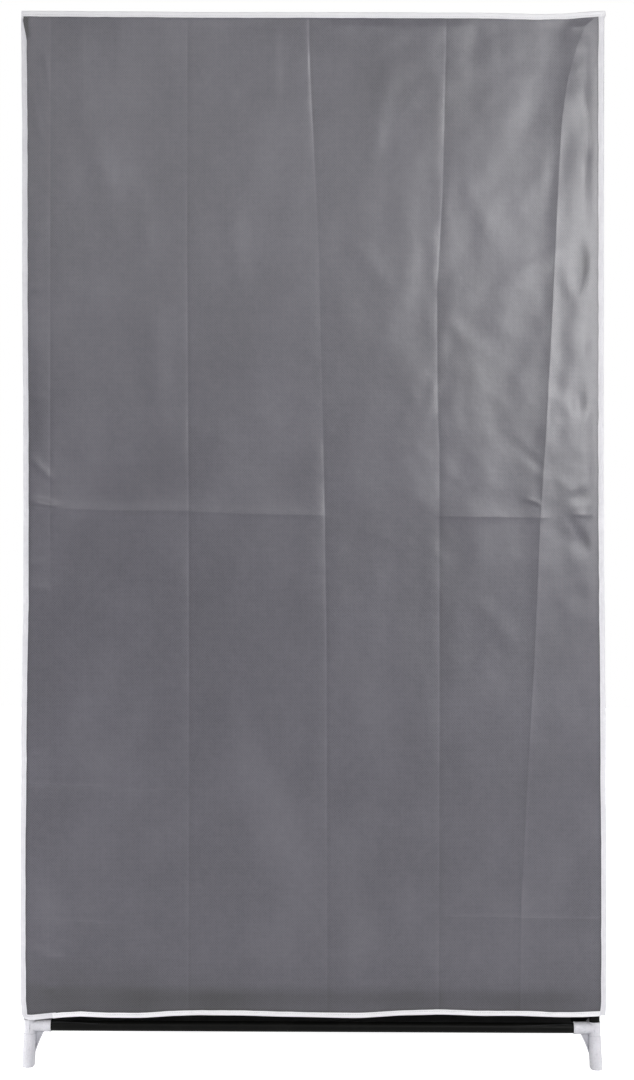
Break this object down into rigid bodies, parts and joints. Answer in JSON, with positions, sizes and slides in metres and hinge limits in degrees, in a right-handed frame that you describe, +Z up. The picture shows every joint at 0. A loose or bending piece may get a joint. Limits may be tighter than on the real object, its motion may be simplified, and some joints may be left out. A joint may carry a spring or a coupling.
{
  "type": "portable fabric wardrobe",
  "caption": "Free-standing wardrobe: push-together tube frame in moulded feet and connectors, fitted cloth cover, and a full-width cloth door flap that lifts over the roof.",
  "frame": {"origin": "on the floor, under the middle of the whole wardrobe", "axes": "+Z up, the door faces -Y, +X to the right of someone facing the door"},
  "size_m": [0.8748, 0.4926, 1.5897],
  "materials": {
    "black_tube": "black powder coat on thin steel tube, semi-matt",
    "white_plastic": "moulded white polypropylene, satin",
    "grey_cloth": "grey spunbonded non-woven cloth with packing creases",
    "white_tape": "white non-woven binding tape, stitched",
    "grip_tape": "black hook and loop tape",
    "floor_cloth": "black non-woven cloth"
  },
  "bodies": {
    "frame": {"foot_front_left": "white_plastic", "corner_top_front_left": "white_plastic", "coupler_front_left": "white_plastic", "upright_lower_front_left": "black_tube", "upright_upper_front_left": "black_tube", "foot_front_right": "white_plastic", "corner_top_front_right": "white_plastic", "coupler_front_right": "white_plastic", "upright_lower_front_right": "black_tube", "upright_upper_front_right": "black_tube", "foot_back_left": "white_plastic", "corner_top_back_left": "white_plastic", "coupler_back_left": "white_plastic", "upright_lower_back_left": "black_tube", "upright_upper_back_left": "black_tube", "foot_back_right": "white_plastic", "corner_top_back_right": "white_plastic", "coupler_back_right": "white_plastic", "upright_lower_back_right": "black_tube", "upright_upper_back_right": "black_tube", "rail_bottom_front": "black_tube", "rail_bottom_back": "black_tube", "rail_bottom_left": "black_tube", "rail_bottom_right": "black_tube", "rail_top_front": "black_tube", "rail_top_back": "black_tube", "rail_top_left": "black_tube", "rail_top_right": "black_tube", "hanging_rail": "black_tube", "rail_bracket_left": "white_plastic", "rail_bracket_right": "white_plastic", "floor_cloth": "floor_cloth"},
    "cover": {"roof_panel": "grey_cloth", "side_panel_left": "grey_cloth", "side_panel_right": "grey_cloth", "back_panel": "grey_cloth", "front_strip_left": "grey_cloth", "loop_tape_left": "grip_tape", "front_strip_right": "grey_cloth", "loop_tape_right": "grip_tape", "binding_roof_left": "white_tape", "binding_back_left": "white_tape", "binding_hem_left": "white_tape", "binding_roof_right": "white_tape", "binding_back_right": "white_tape", "binding_hem_right": "white_tape", "binding_roof_back": "white_tape", "binding_hem_back": "white_tape"},
    "door_upper": {"door_panel_upper": "grey_cloth", "binding_door_top": "white_tape", "binding_door_left_upper": "white_tape", "binding_door_right_upper": "white_tape", "hook_tape_left_upper": "grip_tape", "hook_tape_right_upper": "grip_tape"},
    "door_lower": {"door_panel_lower": "grey_cloth", "binding_door_hem": "white_tape", "binding_door_left_lower": "white_tape", "binding_door_right_lower": "white_tape", "hook_tape_left_lower": "grip_tape", "hook_tape_right_lower": "grip_tape"}
  },
  "joints": [
    {"name": "cover_lift", "type": "slide", "parent": "frame", "child": "cover", "axis": [0, 0, 1], "range_m": [0, 1.52]},
    {"name": "door_open", "type": "hinge", "parent": "cover", "child": "door_upper", "pos_m": [0, -0.24625, 1.5897], "axis": [-1, 0, 0], "range_deg": [0, 268]},
    {"name": "door_fold", "type": "hinge", "parent": "door_upper", "child": "door_lower", "pos_m": [0, -0.24625, 1.0847], "axis": [-1, 0, 0], "range_deg": [0, 92]}
  ]
}
